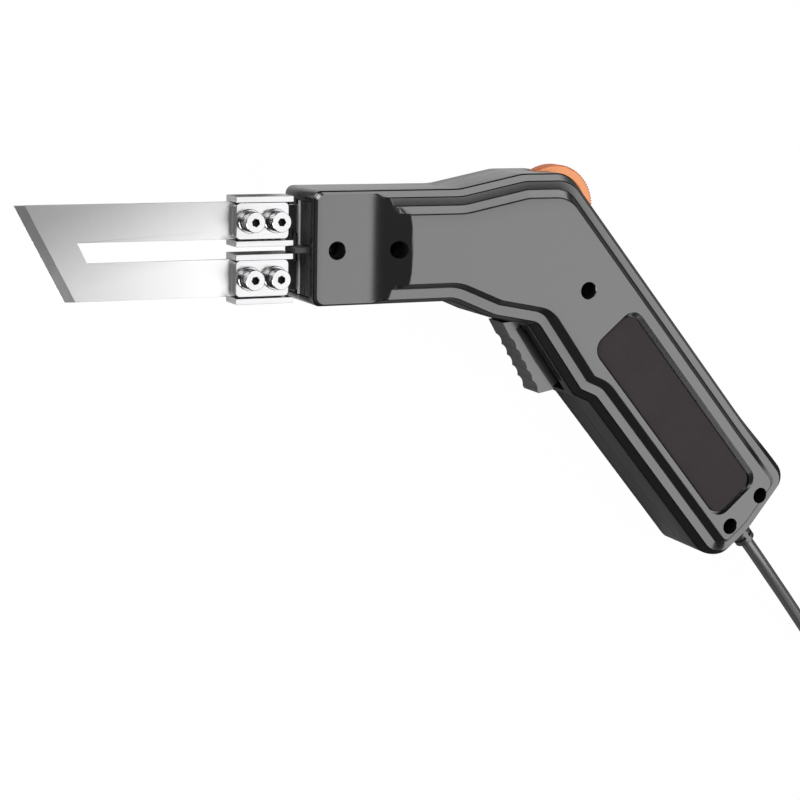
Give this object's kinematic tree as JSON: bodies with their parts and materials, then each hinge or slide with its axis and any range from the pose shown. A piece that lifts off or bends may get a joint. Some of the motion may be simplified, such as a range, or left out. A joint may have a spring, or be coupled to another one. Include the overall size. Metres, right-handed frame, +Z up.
{
  "type": "electric hot knife",
  "caption": "Mains hot knife with a slotted resistance blade on two clamped terminals, an angled pistol handle with trigger and speed dial, and a stored cord with plug.",
  "frame": {"origin": "on the table under the elbow, where the nose axis crosses the handle axis", "axes": "+X from the blade tip to the back, +Y up the housing, +Z up from the table"},
  "size_m": [0.5212, 0.2743, 0.043],
  "materials": {
    "housing_grey": "satin moulded plastic",
    "grip_rubber": "fine matt rubber",
    "black_plastic": "matt",
    "plated_steel": "bright plated",
    "dark_steel": "plain",
    "blade_steel": "ground along the blade",
    "insulation": "matt laminate",
    "copper": "plain copper",
    "core_steel": "varnished laminations",
    "bobbin_plastic": "matt",
    "winding_wire": "enamelled wire",
    "card_green": "lacquered",
    "sink_aluminium": "plain",
    "capacitor_red": "dipped",
    "component_blue": "matt",
    "dial_orange": "satin moulded plastic",
    "trigger_grey": "satin moulded plastic",
    "cord_rubber": "smooth sheath",
    "guard_rubber": "matt"
  },
  "bodies": {
    "housing": {"right_shell": "housing_grey", "left_shell": "housing_grey", "shell_screws": "dark_steel", "left_grip_pad": "grip_rubber", "right_grip_pad": "grip_rubber", "insulating_board": "insulation", "left_nose_plate": "black_plastic", "right_nose_plate": "black_plastic", "terminal_divider": "black_plastic", "upper_terminal": "plated_steel", "lower_terminal": "plated_steel", "upper_clamp_plate": "plated_steel", "lower_clamp_plate": "plated_steel", "clamp_screws": "plated_steel", "spring_washers": "dark_steel", "flat_washers": "plated_steel", "blade": "blade_steel", "upper_busbar": "copper", "lower_busbar": "copper", "busbar_bolts": "dark_steel", "busbar_nuts": "dark_steel", "transformer_core": "core_steel", "transformer_bobbin": "bobbin_plastic", "primary_winding": "winding_wire", "secondary_strap": "copper", "control_board": "card_green", "triac": "black_plastic", "heat_sink": "sink_aluminium", "capacitor": "capacitor_red", "potentiometer": "component_blue", "trigger_pin": "dark_steel", "switch_body": "black_plastic", "cord_clamp": "black_plastic", "cord_clamp_screws": "dark_steel", "cord_guard": "guard_rubber", "mains_cord": "cord_rubber", "cord_coil": "cord_rubber", "cord_tie": "guard_rubber", "plug_body": "guard_rubber", "plug_pins": "plated_steel"},
    "trigger": {"trigger": "trigger_grey"},
    "plunger": {"switch_plunger": "bobbin_plastic"},
    "speed_dial": {"dial": "dial_orange", "dial_shaft": "dark_steel"}
  },
  "joints": [
    {"name": "trigger_pivot", "type": "hinge", "parent": "housing", "child": "trigger", "pos_m": [-0.00115, -0.03021, 0.0215], "axis": [0, 0, 1], "range_deg": [0, 8], "stiffness_Nm_per_rad": 1, "springref_deg": -5.73},
    {"name": "plunger_slide", "type": "slide", "parent": "housing", "child": "plunger", "axis": [0.766, 0.6428, 0], "range_m": [0, 0.0034]},
    {"name": "dial_turn", "type": "hinge", "parent": "housing", "child": "speed_dial", "pos_m": [0.0102, 0.0149, 0.0215], "axis": [0, 0, 1], "range_deg": [-135, 135]}
  ],
  "couplings": [
    {"joint": "plunger_slide", "follows": "trigger_pivot", "m_per_rad": 0.0236}
  ]
}
